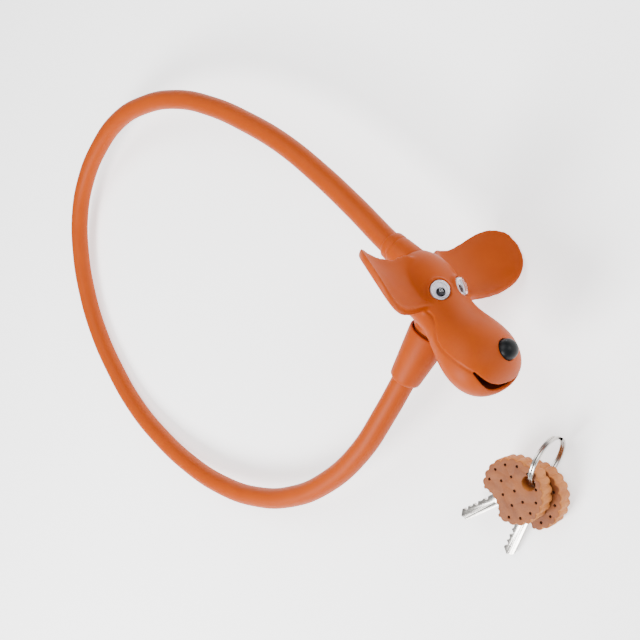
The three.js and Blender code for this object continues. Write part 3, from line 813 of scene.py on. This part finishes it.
def blade(name):
    """A flat bar with its cuts, and a groove along each side."""
    outline = blade_edge()
    bpy.ops.object.select_all(action="DESELECT")
    bpy.ops.mesh.primitive_circle_add(vertices=len(outline), radius=10, fill_type="NGON")
    bar = fresh(name, bpy.context.object)
    for vertex, (x, y) in zip(bar.data.vertices, outline):
        vertex.co = (x, y, -BLADE_THICK / 2)
    bpy.ops.object.mode_set(mode="EDIT")
    bpy.ops.mesh.select_all(action="SELECT")
    bpy.ops.mesh.extrude_region_move(TRANSFORM_OT_translate={"value": (0, 0, BLADE_THICK)})
    close_up()
    for side in (1, -1):
        bpy.ops.object.select_all(action="DESELECT")
        reach = BLADE_REACH + 4
        bpy.ops.mesh.primitive_cube_add(
            size=1, scale=(reach, 1.1, 1),
            location=(BLADE_ROOT + 3 + reach / 2, 0.9 + 0.1 * side, side * BLADE_THICK / 2),
        )
        groove = bpy.context.object
        lay(groove, Matrix())
        carved(bar, groove)
    finished(bar, "BEVEL", width=0.14, segments=2, limit_method="ANGLE", angle_limit=0.5)
    bar.data.materials.append(nickel)
    return bar


for word in ("a", "b"):
    place = key_place(word)
    biscuit = grip("biscuit_" + word)
    lay(biscuit, place)
    alone(biscuit)
    bpy.ops.object.shade_smooth_by_angle(angle=math.radians(35))
    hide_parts("key_" + word + "_grip")
    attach(biscuit, "key_" + word)
    shaft = blade("blade_" + word)
    lay(shaft, place)
    alone(shaft)
    bpy.ops.object.shade_smooth_by_angle(angle=math.radians(30))
    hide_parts("key_" + word + "_blade")
    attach(shaft, "key_" + word)

# ---- Split ring ----
# Flat spring wire wound twice round, so its two coils lie on each other.
RING_R = 12.3
WIRE_WIDE, WIRE_THICK = 1.4, 1.12
COIL_TURN, COIL_PITCH = 700, 1.2
ring_low, ring_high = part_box("split_ring")
ring_middle = (ring_low + ring_high) / 2
hole_a = Vector(joint["key_a_swing"]["pos_m"])
hole_b = Vector(joint["key_b_swing"]["pos_m"])
across_ring = (ring_middle - (hole_a + hole_b) / 2).normalized()
ring_axis = across_ring.cross(stack_up).normalized()
RING = Matrix((across_ring, ring_axis.cross(across_ring), ring_axis)).transposed().to_4x4()
RING.translation = ring_middle
RING = RING @ Matrix.Scale(MM, 4)
bpy.ops.object.select_all(action="DESELECT")
bpy.ops.mesh.primitive_plane_add(size=1, rotation=(math.pi / 2, 0, 0))
coil = fresh("ring_coil", bpy.context.object)
lay(coil, Matrix.Translation((RING_R, 0, -0.6)) @ Matrix.Diagonal((WIRE_WIDE, 1, WIRE_THICK, 1)))
finished(
    coil, "SCREW", angle=math.radians(COIL_TURN), screw_offset=COIL_PITCH * COIL_TURN / 360,
    steps=180, render_steps=180, axis="Z", use_merge_vertices=False,
)
bpy.ops.object.mode_set(mode="EDIT")
close_up()
lay(coil, RING)
rounded(coil, 0.22 * MM, 2, 35)
coil.data.materials.append(nickel)
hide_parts("split_ring")
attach(coil, "key_ring")

# ---- Lock inside ----
# The die-cast body, the latch with its spring and cover, the plug with its wafers, the ferrules
# and the locking pin keep their engineered shapes and take their real finishes.
zinc = plated("zinc_casting", (0.42, 0.43, 0.45), 0.5, 300, 0.85)
steel = plated("bright_steel", (0.55, 0.55, 0.56), 0.3, 900)
brass = plated("machined_brass", (0.64, 0.43, 0.16), 0.3, 1100)
seal_black = moulded("seal_black", (0.012, 0.012, 0.013), 0.6)
rope_steel = plated("rope_steel", (0.4, 0.4, 0.41), 0.42, 2200)
INSIDE = {
    "lock_body": zinc, "latch_cover": zinc, "cover_screw_1": steel, "cover_screw_2": steel,
    "latch_plate": steel, "latch_spring": steel, "fixed_ferrule": steel, "ferrule_pin": steel,
    "pin_ferrule": steel, "locking_pin": steel, "key_plug": brass, "wafer_1": brass,
    "wafer_2": brass, "wafer_3": brass, "wafer_4": brass, "escutcheon": nickel,
    "seal_ring": seal_black, "cable_core": rope_steel,
}
for node, material in INSIDE.items():
    piece = frame["nodes"][node]
    piece.data.materials.clear()
    piece.data.materials.append(material)

# ---- Floor and lights ----
# Plain pale surface and soft studio light.
bpy.ops.object.select_all(action="DESELECT")
bpy.ops.mesh.primitive_plane_add(size=6, location=(0, 0, -0.0002))
floor = fresh("floor", bpy.context.object)
floor_white = bpy.data.materials.new("floor_white")
floor_white.use_nodes = True
paper = floor_white.node_tree.nodes["Principled BSDF"].inputs
paper["Base Color"].default_value = (0.95, 0.95, 0.95, 1)
paper["Roughness"].default_value = 0.9
paper["Emission Color"].default_value = (1, 1, 1, 1)
paper["Emission Strength"].default_value = 1.3
floor.data.materials.append(floor_white)


def softbox(name, place, aim, size, watts):
    """A square area light, turned to face the aim."""
    data = bpy.data.lights.new(name, "AREA")
    data.size = size
    data.energy = watts
    lamp = bpy.data.objects.new(name, data)
    lamp.location = place
    lamp.rotation_euler = (Vector(aim) - Vector(place)).to_track_quat("-Z", "Y").to_euler()
    bpy.context.scene.collection.objects.link(lamp)


softbox("key_light", (0.05, -0.65, 0.65), (0, 0, 0.03), 0.4, 18)
softbox("fill_light", (-0.4, 0.2, 0.9), (0, 0, 0.03), 0.7, 8)
softbox("back_light", (0.5, 0.8, 0.5), (0, 0, 0.03), 0.5, 6)
sky = bpy.data.worlds.new("sky")
sky.use_nodes = True
sky.node_tree.nodes["Background"].inputs["Color"].default_value = (1, 1, 1, 1)
sky.node_tree.nodes["Background"].inputs["Strength"].default_value = 0.42
bpy.context.scene.world = sky
